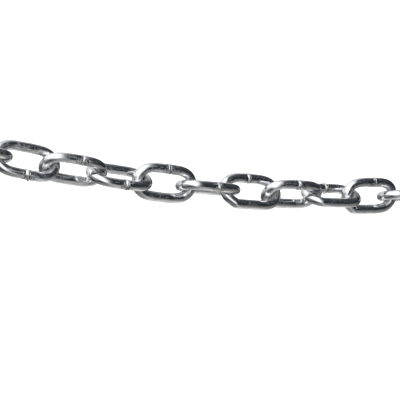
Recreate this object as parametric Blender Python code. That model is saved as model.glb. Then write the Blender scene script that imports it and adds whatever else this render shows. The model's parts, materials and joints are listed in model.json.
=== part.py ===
"""A one metre length of welded steel chain, laid out taut along a gentle bend on a floor."""

import math

import bpy
from mathutils import Matrix, Vector

# One link: a ring of round wire with straight bars and half-ellipse crowns.
WIRE = 0.006
INNER_LENGTH = 0.030
INNER_WIDTH = 0.0115
CROWN_STRETCH = 1.2
CROWN_CORNERS = 8
WIRE_SIDES = 10

# The laid chain: how many links, and how each one sits against the one before.
LINK_COUNT = 33
SLACK = 0.0007
LEAN_STEP = math.radians(72)
MIDDLE_LEAN = math.radians(126)
BEND_STEP = math.radians(1.75)

# Zinc-plated steel wire.
STEEL_COLOUR = (0.50, 0.51, 0.52, 1.0)
STEEL_ROUGHNESS = 0.28

# Half sizes of the wire's centre line, and the distance from link to link.
HALF_WIDTH = (INNER_WIDTH + WIRE) / 2
HALF_LENGTH = (INNER_LENGTH + WIRE) / 2
CROWN_DEPTH = HALF_WIDTH * CROWN_STRETCH
BAR_HALF = HALF_LENGTH - CROWN_DEPTH
PITCH = INNER_LENGTH - SLACK
MIDDLE = LINK_COUNT // 2


def clear_scene():
    """Removes every object that the scene starts with."""
    for item in list(bpy.data.objects):
        bpy.data.objects.remove(item, do_unlink=True)


def crown_corners(end):
    """Corners around one crown; the runs between them touch the true half-ellipse."""
    step = math.pi / CROWN_CORNERS
    reach = 1 / math.cos(step / 2)
    corners = []
    for number in range(CROWN_CORNERS):
        angle = -math.pi / 2 + (number + 0.5) * step
        along = BAR_HALF + CROWN_DEPTH * math.cos(angle) * reach
        across = HALF_WIDTH * math.sin(angle) * reach
        corners.append(Vector((end * along, end * across, 0)))
    return corners


def mitre_widths(corners):
    """Widening at each corner that keeps the runs on both sides of it at the wire's thickness."""
    widths = []
    for number, corner in enumerate(corners):
        arriving = corner - corners[number - 1]
        leaving = corners[(number + 1) % len(corners)] - corner
        widths.append(1 / math.cos(arriving.angle(leaving) / 2))
    return widths


def link_curve(name):
    """The wire ring in its own plane: X along the chain, Y across the eye, flats facing in and out."""
    corners = crown_corners(1) + crown_corners(-1)
    curve = bpy.data.curves.new(name, "CURVE")
    curve.dimensions = "3D"
    curve.twist_mode = "Z_UP"
    curve.render_resolution_u = 0
    curve.bevel_resolution = (WIRE_SIDES - 4) // 2
    curve.bevel_depth = WIRE / 2 / math.cos(math.pi / WIRE_SIDES)
    ring = curve.splines.new("POLY")
    ring.points.add(len(corners) - 1)
    for point, corner, width in zip(ring.points, corners, mitre_widths(corners)):
        point.co = (*corner, 1)
        point.radius = width
        point.tilt = math.pi / WIRE_SIDES
    ring.use_cyclic_u = True
    return curve


def steel(name):
    """Bright zinc-plated steel."""
    material = bpy.data.materials.new(name)
    material.use_nodes = True
    shader = material.node_tree.nodes["Principled BSDF"]
    shader.inputs["Base Color"].default_value = STEEL_COLOUR
    shader.inputs["Roughness"].default_value = STEEL_ROUGHNESS
    shader.inputs["Metallic"].default_value = 1.0
    return material


def heading(number):
    """Direction along the floor of one link."""
    angle = BEND_STEP * (number - MIDDLE)
    return Vector((math.cos(angle), math.sin(angle), 0))


def link_centres():
    """Centres of the links, end to end along the bend, at the height of an upright link."""
    height = HALF_WIDTH + WIRE / 2
    joint = Vector((0, 0, height))
    centres = []
    for number in range(LINK_COUNT):
        step = heading(number) * PITCH
        centres.append(joint + step / 2)
        joint = joint + step
    return centres


def link_pose(number, centre):
    """Place of one link: X along the chain, Y from bar to bar, turned further at each link."""
    along = heading(number)
    up = Vector((0, 0, 1))
    side = up.cross(along)
    lean = MIDDLE_LEAN + LEAN_STEP * (number - MIDDLE)
    across = side * math.cos(lean) + up * math.sin(lean)
    axes = Matrix((along, across, along.cross(across))).transposed()
    return Matrix.Translation(centre) @ axes.to_4x4()


def add_links(collection, holder):
    """One object for each link, parented to the chain's empty."""
    links = []
    for number, centre in enumerate(link_centres()):
        name = f"link_{number + 1:02d}"
        link = bpy.data.objects.new(name, link_curve(name))
        link.data.materials.append(steel(f"zinc_steel_{number + 1:02d}"))
        link.matrix_world = link_pose(number, centre)
        link.parent = holder
        collection.objects.link(link)
        links.append(link)
    return links


def solid_corners(links):
    """World corners of the wire solids."""
    bpy.context.view_layer.update()
    graph = bpy.context.evaluated_depsgraph_get()
    corners = []
    for link in links:
        solid = link.evaluated_get(graph)
        mesh = solid.to_mesh()
        corners += [solid.matrix_world @ vertex.co for vertex in mesh.vertices]
        solid.to_mesh_clear()
    return corners


def stand_on_origin(holder, links):
    """Moves the chain so that the origin is the middle of its footprint, on the floor."""
    corners = solid_corners(links)
    low = [min(corner[axis] for corner in corners) for axis in range(3)]
    high = [max(corner[axis] for corner in corners) for axis in range(3)]
    holder.location = (-(low[0] + high[0]) / 2, -(low[1] + high[1]) / 2, -low[2])


def main():
    """Builds the chain in its own collection."""
    clear_scene()
    collection = bpy.data.collections.new("steel_chain")
    bpy.context.scene.collection.children.link(collection)
    holder = bpy.data.objects.new("chain", None)
    collection.objects.link(holder)
    links = add_links(collection, holder)
    stand_on_origin(holder, links)


main()
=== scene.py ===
"""A metre of zinc-plated welded steel chain on a pale floor, dressed around its packed links."""

import json
import logging
import math
from dataclasses import dataclass
from enum import Enum
from functools import cached_property

import bpy
import numpy as np
from mathutils import Matrix, Vector


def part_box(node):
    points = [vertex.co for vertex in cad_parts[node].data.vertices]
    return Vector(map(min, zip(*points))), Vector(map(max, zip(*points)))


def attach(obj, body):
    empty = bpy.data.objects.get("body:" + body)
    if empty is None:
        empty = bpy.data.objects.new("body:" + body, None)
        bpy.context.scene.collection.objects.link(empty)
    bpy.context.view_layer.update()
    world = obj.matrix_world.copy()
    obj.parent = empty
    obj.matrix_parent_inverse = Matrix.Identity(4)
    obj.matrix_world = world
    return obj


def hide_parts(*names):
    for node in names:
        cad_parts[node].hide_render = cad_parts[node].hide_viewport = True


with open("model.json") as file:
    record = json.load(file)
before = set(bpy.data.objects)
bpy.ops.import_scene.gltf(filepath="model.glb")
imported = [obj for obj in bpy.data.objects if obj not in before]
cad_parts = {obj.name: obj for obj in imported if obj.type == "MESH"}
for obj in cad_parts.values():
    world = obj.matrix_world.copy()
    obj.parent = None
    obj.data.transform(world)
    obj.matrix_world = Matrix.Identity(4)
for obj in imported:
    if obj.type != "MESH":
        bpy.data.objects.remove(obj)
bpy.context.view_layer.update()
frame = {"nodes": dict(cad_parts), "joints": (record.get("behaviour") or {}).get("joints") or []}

log = logging.getLogger("chain")

MM = 0.001

# The driving sizes of a link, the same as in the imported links.
WIRE = 6.0 * MM
INNER_LENGTH = 30.0 * MM
INNER_WIDTH = 11.5 * MM
MIDDLE_LINK = 17

# A span is the two values of a measure at which a share is none and full.
Span = tuple[float, float]
Colour = tuple[float, float, float, float]
WHITE: Colour = (1.0, 1.0, 1.0, 1.0)


def opaque(red: float, green: float, blue: float) -> Colour:
    """A colour that nothing shows through."""
    return (red, green, blue, 1.0)


def ramp(values: np.ndarray, start: float, full: float) -> np.ndarray:
    """Smooth step from 0 at start to 1 at full, whichever of them is higher.

    With s the share of the way from start to full, clipped to 0 and 1, it is s * s * (3 - 2 * s).

    Args:
        values: what the step is taken over.
        start: value at which it is 0.
        full: value at which it is 1.

    Returns:
        The step at each value.
    """
    share = np.clip((values - start) / (full - start), 0, 1)
    return share * share * (3 - 2 * share)


def bell(values: np.ndarray, middle: float, reach: float) -> np.ndarray:
    """Bell curve exp(-((value - middle) / reach) ** 2), which is 1 at the middle."""
    return np.exp(-(((values - middle) / reach) ** 2))


def fading(distance: np.ndarray, reach: float) -> np.ndarray:
    """Share exp(-distance / reach), which stays 1 where the distance is below zero."""
    return np.exp(-np.maximum(distance, 0) / reach)


class Bar(Enum):
    """Which straight bar of a link carries its weld: +1 is the bar on the link's own across side."""

    FIRST = 1
    SECOND = -1


class Draw(Enum):
    """First seed of each kind of random draw. The link's number is added to it."""

    RELIEF = 0
    TONE = 70
    SHARP_BEND = 300
    WELD = 500
    CLAMP_MARK = 900


@dataclass(frozen=True)
class LinkPlace:
    """Where one link lies: its number, its centre, and its axes along the chain and across its bars."""

    number: int
    centre: np.ndarray
    along: np.ndarray
    across: np.ndarray

    @property
    def node(self) -> str:
        """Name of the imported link, and of the body that it moves with."""
        return f"link_{self.number:02d}"

    @property
    def weld_bar(self) -> Bar:
        """The weld changes to the other bar at every second link."""
        step = (self.number - MIDDLE_LINK) % 4
        return Bar.FIRST if step in (0, 3) else Bar.SECOND

    def rng(self, draw: Draw) -> np.random.Generator:
        """The link's own generator for one kind of random draw."""
        return np.random.default_rng(draw.value + self.number)

    def to_world(self, local: np.ndarray) -> np.ndarray:
        """Places points of a link whose weld bar is on the +y side.

        Args:
            local: points in the link's own frame, x along the chain and z through the eye.

        Returns:
            The same points in the world.
        """
        across = self.across * self.weld_bar.value
        axes = np.stack([self.along, across, np.cross(self.along, across)])
        return self.centre + local @ axes


def carried_on(values: np.ndarray) -> np.ndarray:
    """Adds one value after the last by the last step again."""
    return np.append(values, 2 * values[-1] - values[-2])


def laid_links(nodes: dict, joints: list) -> list[LinkPlace]:
    """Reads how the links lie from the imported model.

    A link's heading is the direction from its centre to the hinge at its far end. Its lean is the
    angle of its bar-to-bar axis above the floor, from the hinge axis that stands square to its eye.
    Both turn by an even step from link to link, which gives the two ends that have no hinge.

    Args:
        nodes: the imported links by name.
        joints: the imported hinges.

    Returns:
        One place for each link, first to last.
    """
    centres = np.array([sum(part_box(name), Vector()) / 2 for name in sorted(nodes)])
    hinges = sorted(joints, key=lambda hinge: hinge["child"])
    runs = np.array([hinge["pos_m"] for hinge in hinges]) - centres[:-1]
    heading = carried_on(np.unwrap(np.arctan2(runs[:, 1], runs[:, 0])))
    along = np.stack([np.cos(heading), np.sin(heading), 0 * heading], axis=1)
    side = np.stack([-along[:, 1], along[:, 0], 0 * heading], axis=1)
    normals = np.array([hinge["axis"] for hinge in hinges])
    across = np.cross(normals, along[1:])
    lean = np.unwrap(np.arctan2(across[:, 2], (across * side[1:]).sum(1)))
    lean = carried_on(lean[::-1])[::-1]
    up = np.array([0.0, 0.0, 1.0])
    across = side * np.cos(lean)[:, None] + up * np.sin(lean)[:, None]
    return [LinkPlace(k + 1, centres[k], along[k], across[k]) for k in range(len(centres))]


def run_lengths(points: np.ndarray) -> np.ndarray:
    """Distances along a line of points, from its first point."""
    steps = np.linalg.norm(np.diff(points, axis=0), axis=1)
    return np.concatenate([[0.0], np.cumsum(steps)])


def left_of(tangent: np.ndarray) -> np.ndarray:
    """Unit vectors a quarter turn to the left of the given ones."""
    left = np.stack([-tangent[:, 1], tangent[:, 0]], axis=1)
    return left / np.linalg.norm(left, axis=1)[:, None]


@dataclass(frozen=True)
class RingOutline:
    """Centre line of the wire in a link's own plane.

    It is the superellipse |x / half_length| ** bar_power + |y / half_width| ** crown_power = 1,
    whose bars are nearly straight and whose crowns are a little pointed, as bent wire is. Where the
    plain bar turns into the crown of the first end, the line can have a sharp bend: it is pushed
    outwards by kink * exp(-distance / kink_reach). The run from there towards the tip is then nearly
    straight: it is pulled inwards by kink * flat_share * exp(-(distance / flat_reach) ** 2), with
    the distance from a point flat_run past the bend.
    """

    kink: float
    kink_run: float = 10.8 * MM
    kink_reach: float = 1.7 * MM
    flat_share: float = 0.5
    flat_run: float = 4.3 * MM
    flat_reach: float = 2.5 * MM

    half_length: float = (INNER_LENGTH + WIRE) / 2
    half_width: float = (INNER_WIDTH + WIRE) / 2
    bar_power: float = 4.0
    crown_power: float = 1.9
    samples: int = 20000
    half_step: float = 0.15 * MM

    @cached_property
    def traced(self) -> tuple[np.ndarray, np.ndarray]:
        """Fine samples of the closed line, from the middle of the +y bar towards +x.

        Returns:
            The points, and the distance along the line at each of them.
        """
        turn = math.pi / 2 - np.linspace(0, math.tau, self.samples + 1)
        cosine, sine = np.cos(turn), np.sin(turn)
        x = self.half_length * np.sign(cosine) * np.abs(cosine) ** (2 / self.bar_power)
        y = self.half_width * np.sign(sine) * np.abs(sine) ** (2 / self.crown_power)
        points = np.stack([x, y], axis=1)
        outward = left_of(np.gradient(points, axis=0))
        points += self.push(run_lengths(points))[:, None] * outward
        return points, run_lengths(points)

    def push(self, reach: np.ndarray) -> np.ndarray:
        """How far the sharp bend and its straight run stand out from the even line.

        Args:
            reach: distances along the even line, once round from zero.

        Returns:
            The distance outwards at each.
        """
        past = reach - reach[-1] / 2 - self.kink_run
        bend = fading(np.abs(past), self.kink_reach)
        return self.kink * (bend - self.flat_share * bell(past, self.flat_run, self.flat_reach))

    @property
    def length(self) -> float:
        """Length of wire in one link."""
        return float(self.traced[1][-1])

    def at(self, run: np.ndarray) -> np.ndarray:
        """Points of the line, counted round and round.

        Args:
            run: distances along it from the middle of the +y bar.

        Returns:
            One row of x and y for each distance.
        """
        points, reach = self.traced
        run = np.mod(run, self.length)
        return np.stack([np.interp(run, reach, points[:, axis]) for axis in (0, 1)], axis=1)

    def outward(self, run: np.ndarray) -> np.ndarray:
        """Unit vectors in the plane, square to the line and away from the eye."""
        return left_of(self.at(run + self.half_step) - self.at(run - self.half_step))


@dataclass(frozen=True)
class Lobes:
    """A wave round the wire, size * sin(count * turn + phase), with a whole number of lobes."""

    size: float
    count: int
    phase: float

    def at(self, turn: np.ndarray) -> np.ndarray:
        """Height of the wave at angles round the wire."""
        return self.size * np.sin(self.count * turn + self.phase)


@dataclass(frozen=True)
class Weld:
    """The butt weld of one link: a burr across its bar, sloping up on one side and dropping on the other.

    Its own line leans by skew and wanders a little. offset is its distance from the middle of the
    bar. The sizes down to groove differ from weld to weld, and the others are the same for all.
    """

    offset: float
    height: float
    width: float
    skew: float
    second: float = 0.0
    groove: float = 0.14 * MM

    lean_phase: float = 0.6
    wander: Lobes = Lobes(0.09 * MM, 3, 1.0)
    mean_height: float = 0.85
    uneven: tuple[Lobes, ...] = (Lobes(0.22, 1, 2.1), Lobes(0.18, 3, 0.4), Lobes(0.10, 5, 0.0))
    drop: float = 0.34 * MM
    groove_at: float = 0.50 * MM
    groove_reach: float = 0.22 * MM
    second_at: float = 1.25 * MM
    second_reach: float = 0.32 * MM
    collar_rise: float = 0.3 * MM
    collar_fall: Span = (0.25 * MM, 0.05 * MM)
    scorch_edge: float = 0.2 * MM
    scorch_plain: float = 0.3 * MM
    scorch_after: float = 0.7 * MM
    scorch_before: float = 0.8 * MM
    before_share: float = 0.6

    @classmethod
    def drawn(cls, rng: np.random.Generator) -> "Weld":
        """Draws a weld at random, from about the range of those seen.

        Args:
            rng: seeded generator.

        Returns:
            The weld.
        """
        return cls(
            rng.uniform(0.0, 3.2) * MM,
            height=rng.uniform(0.24, 0.52) * MM,
            width=rng.uniform(1.1, 1.9) * MM,
            skew=rng.uniform(-0.35, 0.35) * MM,
            second=rng.choice([0.0, 0.0, 0.16]) * MM,
            groove=rng.uniform(0.12, 0.24) * MM,
        )

    def reach(self, run: np.ndarray, turn: np.ndarray) -> np.ndarray:
        """Distance from the weld's own line, which leans and wanders a little round the wire."""
        return run - self.skew * np.sin(turn + self.lean_phase) - self.wander.at(turn)

    def follow(self, run: np.ndarray, turn: np.ndarray) -> np.ndarray:
        """Share of the second low line, which stands a little beyond the burr."""
        return bell(self.reach(run, turn), self.second_at, self.second_reach)

    def relief(self, run: np.ndarray, turn: np.ndarray) -> np.ndarray:
        """Height of the weld over the round wire.

        The burr rises in a smooth step over its width, drops within a third of a millimetre and
        ends in a fine groove. Its height varies round the wire. A second low line may follow.

        Args:
            run: signed distance from the weld along the wire.
            turn: angle round the wire.

        Returns:
            The height at each point.
        """
        reach = self.reach(run, turn)
        burr = ramp(reach, -self.width, 0) * ramp(reach, self.drop, 0)
        uneven = self.mean_height + sum(lobes.at(turn) for lobes in self.uneven)
        groove = self.groove * bell(reach, self.groove_at, self.groove_reach)
        return self.height * uneven * burr - groove + self.second * self.follow(run, turn)

    def collar(self, run: np.ndarray, turn: np.ndarray) -> np.ndarray:
        """Share of the raised metal, one on the burr and on its second line.

        Args:
            run: signed distance from the weld along the wire.
            turn: angle round the wire.

        Returns:
            The share at each point.
        """
        reach = self.reach(run, turn)
        rise = ramp(reach, -self.width, self.collar_rise - self.width)
        burr = rise * ramp(reach, *self.collar_fall)
        return np.maximum(burr, (self.second > 0) * self.follow(run, turn))

    def scorch(self, run: np.ndarray, turn: np.ndarray) -> np.ndarray:
        """Share of the narrow dark bands beside the burr, deeper on the side where it drops.

        Each band starts at a soft edge and fades away from the burr.

        Args:
            run: signed distance from the weld along the wire.
            turn: angle round the wire.

        Returns:
            The share at each point.
        """
        after = self.reach(run, turn) - self.scorch_edge
        before = -self.width - self.reach(run, turn)
        deep = ramp(after, 0, self.scorch_edge) * fading(after - self.scorch_plain, self.scorch_after)
        faint = ramp(before, 0, self.scorch_edge) * fading(before, self.scorch_before)
        return np.clip(deep + self.before_share * faint, 0, 1)


@dataclass(frozen=True)
class ClampMark:
    """Where a tool gripped the plain bar: an oval dent with a raised rim, on the eye's side, and a
    painted highlight on that rim.

    middle is its distance along the wire from the middle of the welded bar, and turn its angle
    round the wire. Distances from its middle are measured in half sizes, so its rim is at one.
    """

    middle: float
    half_length: float
    turn: float
    half_turn: float
    strength: float = 1.0

    rim: float = 0.42 * MM
    rim_reach: float = 0.28
    depth: float = 0.12 * MM
    dent: Span = (1.0, 0.6)
    # The painted highlight on the rim: its width, and its mean and swing from one side of the mark to the
    # other.
    light_reach: float = 0.26
    light_mean: float = 0.65
    light_swing: float = 0.35
    light_length: float = 0.5
    scuffed: Span = (1.15, 0.80)

    @classmethod
    def drawn(cls, rng: np.random.Generator) -> "ClampMark":
        """Draws a mark at random, fainter than those seen, or none.

        Args:
            rng: seeded generator.

        Returns:
            The mark.
        """
        return cls(
            rng.uniform(34, 40) * MM,
            half_length=rng.uniform(2.0, 4.5) * MM,
            turn=rng.uniform(2.2, 4.1),
            half_turn=rng.uniform(0.3, 0.5),
            strength=rng.choice([0.0, 0.3, 0.6]),
        )

    def out(self, bar_run: np.ndarray, turn: np.ndarray) -> np.ndarray:
        """Distance from the oval's middle, one on its rim."""
        aside = np.mod(turn - self.turn + math.pi, math.tau) - math.pi
        return np.hypot((bar_run - self.middle) / self.half_length, aside / self.half_turn)

    def relief(self, bar_run: np.ndarray, turn: np.ndarray) -> np.ndarray:
        """Height over the wire: a bell-shaped rim around a shallow flat dent.

        Args:
            bar_run: distance along the wire from the middle of the welded bar.
            turn: angle round the wire.

        Returns:
            The height at each point.
        """
        out = self.out(bar_run, turn)
        rim = self.rim * bell(out, 1, self.rim_reach)
        return self.strength * (rim - self.depth * ramp(out, *self.dent))

    def edge(self, bar_run: np.ndarray, turn: np.ndarray) -> np.ndarray:
        """Share of the painted highlight on the rim: near-white colour that fades along the wire.

        Args:
            bar_run: distance along the wire from the middle of the welded bar.
            turn: angle round the wire.

        Returns:
            The share at each point.
        """
        # Painted highlight: stronger before the mark's middle, weaker past it.
        before = (self.middle - bar_run) / (self.light_length * self.half_length)
        light = self.light_mean + self.light_swing * np.tanh(before)
        return self.strength * light * bell(self.out(bar_run, turn), 1, self.light_reach)

    def share(self, bar_run: np.ndarray, turn: np.ndarray) -> np.ndarray:
        """Share of the scuffed, burnt surface, one inside the rim."""
        return self.strength * ramp(self.out(bar_run, turn), *self.scuffed)


# What the photograph shows on its links, by link, in real sizes. The other links' welds, clamp
# marks and sharp bends are drawn at random. Two links show a ring with no sharp bend.
SEEN_WELDS = {
    13: Weld(1.7 * MM, height=0.56 * MM, width=1.6 * MM, skew=0.9 * MM, groove=0.22 * MM),
    14: Weld(3.4 * MM, height=0.36 * MM, width=1.3 * MM, skew=-0.2 * MM),
    15: Weld(2.3 * MM, height=0.46 * MM, width=1.3 * MM, skew=0.15 * MM, groove=0.2 * MM),
    16: Weld(1.0 * MM, height=0.26 * MM, width=1.1 * MM, skew=-0.2 * MM, second=0.18 * MM),
    17: Weld(2.6 * MM, height=0.44 * MM, width=2.2 * MM, skew=0.2 * MM),
    18: Weld(-0.2 * MM, height=0.58 * MM, width=1.5 * MM, skew=-0.35 * MM, groove=0.24 * MM),
    19: Weld(0.5 * MM, height=0.52 * MM, width=1.4 * MM, skew=0.1 * MM, groove=0.22 * MM),
    20: Weld(0.0 * MM, height=0.68 * MM, width=1.5 * MM, skew=-0.1 * MM, groove=0.22 * MM),
    21: Weld(1.0 * MM, height=0.20 * MM, width=0.8 * MM, skew=0.45 * MM, second=0.14 * MM),
}
# Each seen mark's rim carries the painted highlight.
SEEN_MARKS = {
    14: ClampMark(
        36.4 * MM, half_length=4.0 * MM, turn=math.radians(166), half_turn=math.radians(30)
    ),
    19: ClampMark(
        37.4 * MM,
        half_length=3.2 * MM,
        turn=math.radians(170),
        half_turn=math.radians(22),
        strength=1.2,
    ),
}
SEEN_KINKS = {13: 0.0, 14: 0.0, 16: 0.10 * MM, 18: 0.65 * MM, 20: 0.20 * MM, 21: 0.65 * MM}
MOST_DRAWN_KINK = 0.4 * MM


@dataclass(frozen=True)
class Ripples:
    """Random waves that cross the wire at a slant: how many, how long, and their most lobes."""

    waves: int
    shortest: float
    longest: float
    lobes: int

    def over(
        self, rng: np.random.Generator, run: np.ndarray, turn: np.ndarray, loop: float = 0.0
    ) -> np.ndarray:
        """Adds up the waves.

        Each wave is cos(tau * run / wavelength + lobe * turn + phase), with a whole number of lobes
        so that it closes round the wire.

        Args:
            rng: seeded generator.
            run: distance along the wire.
            turn: angle round the wire.
            loop: where given, each wavelength is fitted to divide this length, so that the ring closes.

        Returns:
            Their sum, with a spread of about one.
        """
        total = np.zeros(np.broadcast(run, turn).shape)
        for _ in range(self.waves):
            wavelength = rng.uniform(self.shortest, self.longest)
            if loop:
                wavelength = loop / round(loop / wavelength)
            lobe = rng.integers(-self.lobes, self.lobes + 1)
            total += np.cos(math.tau * run / wavelength + lobe * turn + rng.uniform(0, math.tau))
        return total * math.sqrt(2 / self.waves)


@dataclass(frozen=True)
class WireGrid:
    """Stations along the ring and sides round the wire, close together at the weld and the clamp mark."""

    weld_reach: float = 4.5 * MM
    weld_step: float = 0.13 * MM
    mark_reach: float = 6.0 * MM
    mark_step: float = 0.32 * MM
    plain_step: float = 0.72 * MM
    sides: int = 36
    samples: int = 4001

    def stations(self, length: float, mark: float) -> np.ndarray:
        """Distances from the weld, once round the ring, at equal shares of the summed density.

        Args:
            length: length of wire in the ring.
            mark: distance of the clamp mark from the weld.

        Returns:
            The distances, from minus half the length to just under plus half.
        """
        fine = np.linspace(-length / 2, length / 2, self.samples)
        aside = np.mod(fine - mark + length / 2, length) - length / 2
        step = np.where(np.abs(aside) < self.mark_reach, self.mark_step, self.plain_step)
        step = np.where(np.abs(fine) < self.weld_reach, self.weld_step, step)
        passed = np.concatenate([[0.0], np.cumsum((fine[1] - fine[0]) / step[1:])])
        count = round(passed[-1])
        return np.interp(np.arange(count) * passed[-1] / count, passed, fine)

    def turns(self) -> np.ndarray:
        """Angles round the wire, from the outer side of the ring."""
        return np.arange(self.sides) * math.tau / self.sides


def grid_faces(rows: int, columns: int, closed: bool = True) -> np.ndarray:
    """Quads between the points of a grid whose last column joins its first.

    The corners of a quad are its own point, the next in its row, and those two points of the next
    row, backwards.

    Args:
        rows: how many rows of points.
        columns: how many points in a row.
        closed: whether the last row joins the first as well.

    Returns:
        Corner numbers, one row for each quad.
    """
    row, column = np.meshgrid(np.arange(rows if closed else rows - 1), np.arange(columns), indexing="ij")
    next_row, next_column = (row + 1) % rows, (column + 1) % columns
    corners = [(row, column), (row, next_column), (next_row, next_column), (next_row, column)]
    return np.stack([r * columns + c for r, c in corners], axis=-1).reshape(-1, 4)


def new_mesh(name: str, points: np.ndarray, faces: np.ndarray) -> bpy.types.Object:
    """Makes a smooth mesh object, at the origin, from whole arrays.

    Args:
        name: name of the object and of its mesh.
        points: world points.
        faces: corner numbers, one row for each quad.

    Returns:
        The new object, linked to the scene.
    """
    mesh = bpy.data.meshes.new(name)
    mesh.vertices.add(len(points))
    mesh.vertices.foreach_set("co", points.astype(np.float32).ravel())
    mesh.loops.add(faces.size)
    mesh.loops.foreach_set("vertex_index", faces.astype(np.int32).ravel())
    mesh.polygons.add(len(faces))
    mesh.polygons.foreach_set("loop_start", np.arange(0, faces.size, faces.shape[1], dtype=np.int32))
    mesh.update(calc_edges=True)
    mesh.validate()
    mesh.shade_smooth()
    item = bpy.data.objects.new(name, mesh)
    bpy.context.scene.collection.objects.link(item)
    return item


def paint(item: bpy.types.Object, name: str, values: np.ndarray) -> None:
    """Stores one number, or three, at each point of a mesh.

    Args:
        item: the mesh object.
        name: name of the attribute that the finish reads.
        values: one row for each point.
    """
    vector = values.ndim == 2
    attribute = item.data.attributes.new(name, "FLOAT_VECTOR" if vector else "FLOAT", "POINT")
    attribute.data.foreach_set("vector" if vector else "value", values.astype(np.float32).ravel())


@dataclass
class ChainLink:
    """One link: a ring of drawn wire with its weld, its tool marks and its bearing wear.

    The two sides are spans of the cosine of the angle round the wire, which is -1 towards the eye.
    crown_span is of the distance from the link's middle along the chain.
    """

    place: LinkPlace
    grid: WireGrid

    drawing: Ripples = Ripples(10, 4.0 * MM, 14.0 * MM, lobes=3)
    drawing_height: float = 0.018 * MM
    scale: Ripples = Ripples(24, 0.7 * MM, 2.0 * MM, lobes=8)
    scale_height: float = 0.050 * MM
    scale_reach: float = 3.6 * MM
    scale_lost: float = 0.7
    scuffs: Ripples = Ripples(24, 0.9 * MM, 2.2 * MM, lobes=7)
    scuff_height: float = 0.07 * MM
    crown_span: Span = (12.0 * MM, 17.0 * MM)
    bulge_height: float = 0.18 * MM
    bulge_side: Span = (0.1, -1.0)
    rubbed_side: Span = (0.3, -0.5)

    @property
    def name(self) -> str:
        """Name of the visible piece."""
        return f"wire_ring_{self.place.number:02d}"

    @cached_property
    def weld(self) -> Weld:
        """The link's weld, as seen or drawn at random."""
        return SEEN_WELDS.get(self.place.number, Weld.drawn(self.place.rng(Draw.WELD)))

    @cached_property
    def clamp_mark(self) -> ClampMark:
        """The link's clamp mark, as seen or drawn at random."""
        return SEEN_MARKS.get(self.place.number, ClampMark.drawn(self.place.rng(Draw.CLAMP_MARK)))

    @cached_property
    def outline(self) -> RingOutline:
        """The link's centre line, with a sharp bend as seen or drawn at random."""
        drawn = self.place.rng(Draw.SHARP_BEND).uniform(0, MOST_DRAWN_KINK)
        return RingOutline(kink=SEEN_KINKS.get(self.place.number, drawn))

    def build(self) -> bpy.types.Object:
        """Sweeps the wire round its ring.

        A point is the centre line, plus the radius times cos(turn) outwards in the plane and
        sin(turn) through the eye. The radius is half the wire, plus the relief at that point. No
        point goes below the floor.

        Returns:
            The ring as a mesh object in its place.
        """
        mark_run = self.clamp_mark.middle - self.weld.offset
        stations = self.grid.stations(self.outline.length, mark_run)
        run, turn = stations[:, None], self.grid.turns()[None, :]
        radius = WIRE / 2 + self.relief(run, turn)
        bar_run = stations + self.weld.offset
        line, outward = self.outline.at(bar_run), self.outline.outward(bar_run)
        flat = line[:, None, :] + (radius * np.cos(turn))[..., None] * outward[:, None, :]
        local = np.concatenate([flat, (radius * np.sin(turn))[..., None]], axis=-1).reshape(-1, 3)
        world = self.place.to_world(local)
        world[:, 2] = np.maximum(world[:, 2], 0.0)
        ring = new_mesh(self.name, world, grid_faces(len(stations), self.grid.sides))
        self.mark(ring, run, turn)
        return ring

    def relief(self, run: np.ndarray, turn: np.ndarray) -> np.ndarray:
        """Height over the round wire.

        It adds slow drawing waves, fine scale beside the weld, the weld, the clamp mark, its
        scuffs, and the wire's thickening on the inner side of the crowns.

        Args:
            run: signed distance from the weld along the wire.
            turn: angle round the wire.

        Returns:
            The height at each point.
        """
        rng = self.place.rng(Draw.RELIEF)
        waves = self.drawing.over(rng, run, turn, loop=self.outline.length)
        scale = self.scale.over(rng, run, turn)
        scuffs = self.scuffs.over(rng, run, turn)
        off_burr = 1 - self.scale_lost * self.weld.collar(run, turn)
        bar_run = self.bar_run(run)
        return (
            self.drawing_height * waves
            + self.scale_height * bell(run, 0, self.scale_reach) * off_burr * scale
            + self.weld.relief(run, turn)
            + self.clamp_mark.relief(bar_run, turn)
            + self.scuff_height * self.clamp_mark.share(bar_run, turn) * scuffs
            + self.bulge_height * self.crown(run) * ramp(np.cos(turn), *self.bulge_side)
        )

    def bar_run(self, run: np.ndarray) -> np.ndarray:
        """Distance along the wire from the middle of the welded bar, counted up round the ring."""
        return np.mod(run + self.weld.offset, self.outline.length)

    def crown(self, run: np.ndarray) -> np.ndarray:
        """Share of each crown, one at its tip and none where the bars begin."""
        x = self.outline.at(run.ravel() + self.weld.offset)[:, 0][:, None]
        return ramp(np.abs(x), *self.crown_span)

    def bearing(self, run: np.ndarray, turn: np.ndarray) -> np.ndarray:
        """Share of rubbed zinc, one on the inner side of each crown and fading over its flanks."""
        return self.crown(run) * ramp(np.cos(turn), *self.rubbed_side)

    def mark(self, ring: bpy.types.Object, run: np.ndarray, turn: np.ndarray) -> None:
        """Stores what the finish needs to know at each point of the ring.

        The place on the wire is the distance along it and two coordinates across it. The distance
        from the weld is in millimetres, and the rest are shares.

        Args:
            ring: the mesh object.
            run: signed distances from the weld, as a column.
            turn: angles round the wire, as a row.
        """
        shape = np.broadcast(run, turn).shape
        around = np.mod(run, self.outline.length)
        wire = [around, WIRE / 2 * np.cos(turn), WIRE / 2 * np.sin(turn)]
        wire = np.stack([np.broadcast_to(values, shape) for values in wire], axis=-1)
        paint(ring, "drawn_wire", wire.reshape(-1, 3))
        shares = {
            "weld_reach": np.abs(run) / MM,
            "weld_collar": self.weld.collar(run, turn),
            "weld_scorch": self.weld.scorch(run, turn),
            "clamp_mark": self.clamp_mark.share(self.bar_run(run), turn),
            # Share of the painted highlight on the clamp mark's rim.
            "clamp_edge": self.clamp_mark.edge(self.bar_run(run), turn),
            "bearing": self.bearing(run, turn),
            "link_tone": self.place.rng(Draw.TONE).uniform(-1, 1),
        }
        for name, values in shares.items():
            paint(ring, name, np.broadcast_to(values, shape).ravel())

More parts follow.
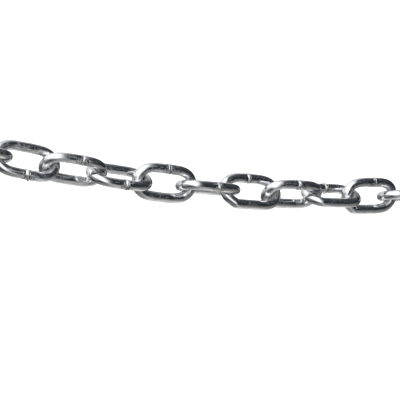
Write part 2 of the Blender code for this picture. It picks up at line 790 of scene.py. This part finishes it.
    def dress(self, ring: bpy.types.Object, finish: bpy.types.Material) -> None:
        """Gives the ring its finish and fixes it to its packed link.

        Args:
            ring: the mesh object.
            finish: the plated steel.
        """
        ring.data.materials.append(finish)
        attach(ring, self.place.node)
        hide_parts(self.place.node)


@dataclass
class SteelChain:
    """All the links of the laid chain."""

    places: list[LinkPlace]

    def make(self, finish: bpy.types.Material) -> list[bpy.types.Object]:
        """Builds and dresses each link in turn.

        Args:
            finish: the plated steel.

        Returns:
            The rings, first to last.
        """
        grid = WireGrid()
        rings = []
        for place in self.places:
            link = ChainLink(place, grid)
            ring = link.build()
            link.dress(ring, finish)
            log.info("%s: %d faces", ring.name, len(ring.data.polygons))
            rings.append(ring)
        return rings


class Signal:
    """One socket of a shader. Arithmetic on it adds Math nodes."""

    def __init__(self, shader: "Shader", socket: bpy.types.NodeSocket) -> None:
        """Keeps the shader and the socket."""
        self.shader = shader
        self.socket = socket

    def _math(self, operation: str, *values: "Signal | float") -> "Signal":
        """Adds one Math node over the given values."""
        sockets = dict(enumerate(values))
        return self.shader.node("ShaderNodeMath", {"operation": operation}, sockets)

    def __add__(self, other: "Signal | float") -> "Signal":
        """Sum."""
        return self._math("ADD", self, other)

    __radd__ = __add__

    def __rsub__(self, other: "Signal | float") -> "Signal":
        """Difference from a number, as in 1 - mask."""
        return self._math("SUBTRACT", other, self)

    def __mul__(self, other: "Signal | float") -> "Signal":
        """Product."""
        return self._math("MULTIPLY", self, other)

    __rmul__ = __mul__

    def ramp(self, start: float, full: float) -> "Signal":
        """Smooth step from 0 at start to 1 at full, whichever of them is higher.

        Args:
            start: value at which it is 0.
            full: value at which it is 1.

        Returns:
            The step of this signal.
        """
        if start > full:
            return 1 - self.ramp(full, start)
        settings = {"interpolation_type": "SMOOTHSTEP"}
        return self.shader.node("ShaderNodeMapRange", settings, {0: self, 1: start, 2: full})


# The Mix node's sockets for two colours and the mixed one, by number, because their names repeat.
MIX_LOW = 6
MIX_HIGH = 7
MIX_RESULT = 2


class Shader:
    """A node tree being filled, for a material or for the world."""

    def __init__(self, owner: bpy.types.Material | bpy.types.World) -> None:
        """Empties the owner's tree.

        Args:
            owner: the material or world.
        """
        owner.use_nodes = True
        self.tree = owner.node_tree
        self.tree.nodes.clear()

    def add(self, kind: str, settings: dict, sockets: dict) -> bpy.types.Node:
        """Adds one node.

        Args:
            kind: the node's type name.
            settings: properties, set first.
            sockets: values or signals, by socket name or number.

        Returns:
            The node.
        """
        node = self.tree.nodes.new(kind)
        for name, value in settings.items():
            setattr(node, name, value)
        for name, value in sockets.items():
            if isinstance(value, Signal):
                self.tree.links.new(value.socket, node.inputs[name])
            else:
                node.inputs[name].default_value = value
        return node

    def node(
        self, kind: str, settings: dict | None = None, sockets: dict | None = None, out: int | str = 0
    ) -> Signal:
        """Adds one node and gives one of its outputs, by name or number."""
        return Signal(self, self.add(kind, settings or {}, sockets or {}).outputs[out])

    def mix(self, share: Signal, low: Signal | Colour, high: Signal | Colour, blend: str = "MIX") -> Signal:
        """Mixes two colours.

        Args:
            share: share of the high colour.
            low: colour where the share is none.
            high: colour where it is full, or what is blended over the low one.
            blend: how it is blended.

        Returns:
            The mixed colour.
        """
        settings = {"data_type": "RGBA", "blend_type": blend}
        sockets = {0: share, MIX_LOW: low, MIX_HIGH: high}
        return self.node("ShaderNodeMix", settings, sockets, out=MIX_RESULT)

    def attribute(self, name: str, out: str = "Fac") -> Signal:
        """A number, or a vector, stored on the mesh."""
        return self.node("ShaderNodeAttribute", {"attribute_name": name}, out=out)

    def finish(self, kind: str, surface: Signal) -> None:
        """Adds the output node and links the surface to it."""
        self.add(kind, {}, {"Surface": surface})


@dataclass(frozen=True)
class Noise:
    """Soft noise from 0 to 1: its features in each metre, its finer octaves and their strength."""

    scale: float
    detail: float
    rough: float

    def over(self, shader: Shader, place: Signal) -> Signal:
        """The noise at a place."""
        sockets = {"Vector": place, "Scale": self.scale, "Detail": self.detail, "Roughness": self.rough}
        return shader.node("ShaderNodeTexNoise", sockets=sockets)


@dataclass(frozen=True)
class ZincMaps:
    """What changes over the zinc: its noises, and the shares of each state of its surface."""

    streak: Signal
    grain: Signal
    patches: Signal
    dull: Signal
    heat: Signal
    burnt: Signal
    # Pale weld specks, and the painted highlight on clamp-mark rims.
    flecks: Signal
    collar: Signal
    mark: Signal
    rubbed: Signal


@dataclass(frozen=True)
class ZincFinish:
    """Bright zinc on drawn steel wire: mottled, streaked along the wire, burnt beside the welds."""

    # The colours, and how much of each is laid over the bright zinc.
    bright: Colour = opaque(0.82, 0.827, 0.833)
    dull: Colour = opaque(0.66, 0.685, 0.72)
    burnt: Colour = opaque(0.21, 0.215, 0.228)
    raised: Colour = opaque(0.84, 0.84, 0.835)
    # Near white, for the pale specks and for the painted highlight on clamp-mark rims.
    fleck: Colour = opaque(0.97, 0.97, 0.96)
    dull_share: float = 0.85
    rubbed_share: float = 0.5
    burnt_share: float = 0.8

    # The roughness of bright zinc, and what each other state adds to it.
    bright_rough: float = 0.06
    dull_rough: float = 0.33
    heat_rough: float = 0.08
    weld_rough: float = 0.14
    mark_rough: float = 0.16
    rubbed_rough: float = 0.20

    # The noises, and the shares of what adds up to the mottle and the burnt patches.
    blotches: Noise = Noise(520, detail=4, rough=0.65)
    streaks: Noise = Noise(900, detail=3, rough=0.6)
    grains: Noise = Noise(1700, detail=2, rough=0.55)
    patches: Noise = Noise(700, detail=4, rough=0.7)
    streak_scale: tuple[float, float, float] = (0.15, 1.0, 1.0)
    blotch_share: float = 0.38
    streak_share: float = 0.52
    grain_share: float = 0.10
    tone_share: float = 0.02
    mark_share: float = 0.9

    # Where each state starts and is full: heat by millimetres from the weld, the others by noise.
    dull_span: Span = (0.465, 0.58)
    heat_span: Span = (6.5, 2.5)
    burnt_span: Span = (0.47, 0.57)
    fleck_span: Span = (0.60, 0.70)
    mark_fleck_span: Span = (0.55, 0.66)
    raised_span: Span = (0.62, 0.50)

    # The fine relief: the parts of the streaks and the grain in it, its height and its strength.
    streak_relief: float = 0.5
    grain_relief: float = 0.3
    relief_height: float = 0.05 * MM
    relief_strength: float = 0.8

    def material(self) -> bpy.types.Material:
        """Builds the finish from Object coordinates and the marks stored on each ring.

        Returns:
            The plated steel.
        """
        material = bpy.data.materials.new("zinc_plated_steel")
        shader = Shader(material)
        maps = self.maps(shader)
        sockets = {
            "Base Color": self.colour(shader, maps),
            "Roughness": self.roughness(maps),
            "Metallic": 1.0,
            "Normal": self.bump(shader, maps),
        }
        surface = shader.node("ShaderNodeBsdfPrincipled", sockets=sockets)
        shader.finish("ShaderNodeOutputMaterial", surface)
        return material

    def maps(self, shader: Shader) -> ZincMaps:
        """Works out what changes over the surface.

        The zinc is dull where blotches, streaks drawn out along the wire, fine grain and the link's
        own tone add up to enough. It is burnt in patches within a few millimetres of the weld, in
        the weld's dark bands and in the clamp mark, and pale specks lie among the patches. The clamp
        mark's rim gets a near-white painted highlight.

        Args:
            shader: the finish's shader.

        Returns:
            The noises and the shares.
        """
        place = shader.node("ShaderNodeTexCoord", out="Object")
        drawn = {"Vector": shader.attribute("drawn_wire", out="Vector"), "Scale": self.streak_scale}
        streak = self.streaks.over(shader, shader.node("ShaderNodeMapping", sockets=drawn))
        blotch = self.blotches.over(shader, place)
        grain = self.grains.over(shader, place)
        patches = self.patches.over(shader, place)
        mottle = self.blotch_share * blotch + self.streak_share * streak + self.grain_share * grain
        tone = self.tone_share * shader.attribute("link_tone")
        heat = shader.attribute("weld_reach").ramp(*self.heat_span)
        mark = shader.attribute("clamp_mark")
        burnt = heat * patches.ramp(*self.burnt_span) + shader.attribute("weld_scorch")
        flecks = heat * grain.ramp(*self.fleck_span) + mark * grain.ramp(*self.mark_fleck_span)
        return ZincMaps(
            streak=streak,
            grain=grain,
            patches=patches,
            dull=(mottle + tone).ramp(*self.dull_span),
            heat=heat,
            burnt=burnt + self.mark_share * mark,
            # The clamp mark's rim share adds a painted highlight to the pale specks.
            flecks=flecks + shader.attribute("clamp_edge"),
            collar=shader.attribute("weld_collar"),
            mark=mark,
            rubbed=shader.attribute("bearing"),
        )

    def colour(self, shader: Shader, maps: ZincMaps) -> Signal:
        """Lays the dull, rubbed, burnt, flecked and raised places over the bright zinc, in that order.
        The flecked places also carry the painted highlight on clamp-mark rims.

        Args:
            shader: the finish's shader.
            maps: what changes over the surface.

        Returns:
            The colour.
        """
        raised = maps.collar * maps.patches.ramp(*self.raised_span)
        colour = shader.mix(self.dull_share * maps.dull, self.bright, self.dull)
        colour = shader.mix(self.rubbed_share * maps.rubbed, colour, self.bright)
        colour = shader.mix(self.burnt_share * maps.burnt, colour, self.burnt)
        # Pale specks and the painted highlight on clamp-mark rims.
        colour = shader.mix(maps.flecks, colour, self.fleck)
        return shader.mix(raised, colour, self.raised)

    def roughness(self, maps: ZincMaps) -> Signal:
        """Adds the roughness of each state of the surface to that of the bright zinc.

        Args:
            maps: what changes over the surface.

        Returns:
            The roughness.
        """
        rough = self.bright_rough + self.dull_rough * maps.dull + self.heat_rough * maps.heat
        rough = rough + self.rubbed_rough * maps.rubbed
        return rough + self.weld_rough * maps.collar + self.mark_rough * maps.mark

    def bump(self, shader: Shader, maps: ZincMaps) -> Signal:
        """Gives the streaks, the grain and the burnt patches a little height.

        Args:
            shader: the finish's shader.
            maps: what changes over the surface.

        Returns:
            The tilted normal.
        """
        height = self.streak_relief * maps.streak + self.grain_relief * maps.grain
        height = height + (maps.heat + maps.mark) * maps.patches
        sockets = {"Height": height, "Distance": self.relief_height, "Strength": self.relief_strength}
        return shader.node("ShaderNodeBump", sockets=sockets)


@dataclass(frozen=True)
class FloorFinish:
    """Plain near-white paper that glows a little, so that shadows stay faint."""

    colour: Colour = opaque(0.90, 0.90, 0.90)
    rough: float = 0.9
    glow: float = 0.86

    def material(self) -> bpy.types.Material:
        """Builds the paper.

        Returns:
            The finish of the floor.
        """
        material = bpy.data.materials.new("pale_paper")
        shader = Shader(material)
        sockets = {
            "Base Color": self.colour,
            "Roughness": self.rough,
            "Specular IOR Level": 0.0,
            "Emission Color": WHITE,
            "Emission Strength": self.glow,
        }
        surface = shader.node("ShaderNodeBsdfPrincipled", sockets=sockets)
        shader.finish("ShaderNodeOutputMaterial", surface)
        return material


def toward(azimuth: float, elevation: float) -> Vector:
    """Unit vector at an azimuth from +x towards +y and an elevation above the floor, in degrees."""
    turn, rise = math.radians(azimuth), math.radians(elevation)
    return Vector((math.cos(turn) * math.cos(rise), math.sin(turn) * math.cos(rise), math.sin(rise)))


@dataclass(frozen=True)
class SoftEdge:
    """One soft side of a lit part of the room: dark at start and full at full.

    What is compared is the cosine of the angle between the line of sight and one direction.
    """

    azimuth: float
    elevation: float
    start: float
    full: float

    def share(self, shader: Shader, sight: Signal) -> Signal:
        """Share of light, from 0 to 1.

        Args:
            shader: the world's shader.
            sight: direction that is looked in.

        Returns:
            The share in that direction.
        """
        sockets = {0: sight, 1: toward(self.azimuth, self.elevation)}
        settings = {"operation": "DOT_PRODUCT"}
        cosine = shader.node("ShaderNodeVectorMath", settings, sockets, out="Value")
        return cosine.ramp(self.start, self.full)


@dataclass(frozen=True)
class SoftLight:
    """A broad lit part of the room, bounded by its soft edges."""

    colour: Colour
    edges: tuple[SoftEdge, ...]

    def share(self, shader: Shader, sight: Signal) -> Signal:
        """Product of the shares of all edges.

        Args:
            shader: the world's shader.
            sight: direction that is looked in.

        Returns:
            The light's share in that direction.
        """
        share = self.edges[0].share(shader, sight)
        for edge in self.edges[1:]:
            share = share * edge.share(shader, sight)
        return share


# The broad light over the first end and along all of the far side.
FAR_LIGHT = SoftLight(
    opaque(0.7123, 0.7091, 0.7091),
    (
        SoftEdge(170.3, -22.4, -0.55, -0.17),
        SoftEdge(40.4, 13.0, -0.84, -0.61),
        SoftEdge(52.1, 29.5, -0.82, -0.38),
        SoftEdge(154.6, -71.2, 1.12, 0.51),
    ),
)

# Weak light from low on the near side, as a pale floor sends up.
LOW_LIGHT = SoftLight(
    opaque(0.2300, 0.2210, 0.2120),
    (
        SoftEdge(-59.1, -39.4, 0.35, 0.86),
        SoftEdge(-151.9, 43.8, -0.96, -0.84),
    ),
)

# More light from high over the first end.
HIGH_LIGHT = SoftLight(
    opaque(0.7876, 0.7749, 0.7632),
    (
        SoftEdge(-178.5, 24.9, 0.15, 0.56),
        SoftEdge(-158.8, -56.6, 0.39, -0.38),
    ),
)

# A faint patch high over the last end.
FAINT_LIGHT = SoftLight(
    opaque(0.0216, 0.0234, 0.0270),
    (SoftEdge(33.1, 54.5, 0.81, 0.96),),
)

# Level light from beyond the first end.
LEVEL_LIGHT = SoftLight(
    opaque(0.3463, 0.3432, 0.3401),
    (SoftEdge(-175.8, 9.2, 0.54, 1.05),),
)


@dataclass(frozen=True)
class Studio:
    """Pale floor in a dim room with five broad soft lights, as the photograph's wire reflects them."""

    room: Colour = opaque(0.0289, 0.0329, 0.0391)
    lights: tuple[SoftLight, ...] = (FAR_LIGHT, LOW_LIGHT, HIGH_LIGHT, FAINT_LIGHT, LEVEL_LIGHT)
    floor_radius: float = 30.0
    floor_drop: float = 0.05 * MM
    first_ring: float = 0.1
    rings: int = 12
    spokes: int = 64

    def build(self) -> None:
        """Adds the floor and the world."""
        self.floor()
        self.world()

    def floor(self) -> None:
        """Adds a disc just under the chain: rings of points at growing radii. Steel doesn't reflect it."""
        angle = -np.arange(self.spokes) * math.tau / self.spokes
        radius = np.geomspace(self.first_ring, self.floor_radius, self.rings)
        radius = np.concatenate([[0.0], radius])[:, None]
        x, y = radius * np.cos(angle), radius * np.sin(angle)
        points = np.stack([x, y, 0 * x - self.floor_drop], axis=-1).reshape(-1, 3)
        disc = new_mesh("floor", points, grid_faces(self.rings + 1, self.spokes, closed=False))
        disc.data.materials.append(FloorFinish().material())
        disc.visible_glossy = False

    def world(self) -> None:
        """Adds the lit room that the steel reflects, white where the camera sees past the floor."""
        world = bpy.data.worlds.new("studio")
        shader = Shader(world)
        sight = shader.node("ShaderNodeTexCoord", out="Generated")
        colour = self.room
        for light in self.lights:
            colour = shader.mix(light.share(shader, sight), colour, light.colour, blend="ADD")
        seen = shader.node("ShaderNodeLightPath", out="Is Camera Ray")
        surface = shader.node("ShaderNodeBackground", sockets={"Color": shader.mix(seen, colour, WHITE)})
        shader.finish("ShaderNodeOutputWorld", surface)
        bpy.context.scene.world = world


@dataclass(frozen=True)
class PhotoCamera:
    """The photograph's viewpoint: from the first end, looking down, tilted, through a long lens.

    slide is how far the camera stands to its own right and up from the line to its aim.
    """

    azimuth: float = -35.8067
    elevation: float = 40.7831
    roll: float = 30.7192
    distance: float = 1151.57 * MM
    lens: float = 170.918
    aim_height: float = 10.0 * MM
    slide: tuple[float, float] = (-4.156 * MM, -6.204 * MM)
    nearest: float = 0.05
    farthest: float = 100.0

    def axes(self) -> Matrix:
        """Works out which way the camera faces.

        Returns:
            Its right, up and back as the columns of a matrix.
        """
        turn, rise, roll = (math.radians(angle) for angle in (self.azimuth, self.elevation, self.roll))
        back = Vector((math.sin(turn) * math.cos(rise), -math.cos(turn) * math.cos(rise), math.sin(rise)))
        level = Vector((0, 0, 1)).cross(back).normalized()
        upright = back.cross(level)
        right = level * math.cos(roll) + upright * math.sin(roll)
        up = upright * math.cos(roll) - level * math.sin(roll)
        return Matrix((right, up, back)).transposed()

    def build(self, under: Vector) -> bpy.types.Object:
        """Adds the camera.

        Args:
            under: point of the floor under the one that the camera aims at.

        Returns:
            The camera object.
        """
        data = bpy.data.cameras.new("photo_camera")
        data.lens = self.lens
        data.clip_start = self.nearest
        data.clip_end = self.farthest
        camera = bpy.data.objects.new("photo_camera", data)
        axes = self.axes()
        place = under + Vector((0, 0, self.aim_height)) + axes @ Vector((*self.slide, self.distance))
        camera.matrix_world = Matrix.Translation(place) @ axes.to_4x4()
        bpy.context.scene.collection.objects.link(camera)
        bpy.context.scene.camera = camera
        return camera


def main() -> None:
    """Builds the chain, the camera and the studio, and reports each piece."""
    logging.basicConfig(level=logging.INFO, format="%(name)s: %(message)s")
    places = laid_links(frame["nodes"], frame["joints"])
    rings = SteelChain(places).make(ZincFinish().material())
    log.info("%d links, %d faces", len(rings), sum(len(ring.data.polygons) for ring in rings))
    x, y, _ = places[MIDDLE_LINK - 1].centre
    PhotoCamera().build(Vector((x, y, 0)))
    Studio().build()
    bpy.context.scene.view_settings.view_transform = "Standard"


if __name__ == "__main__":
    main()
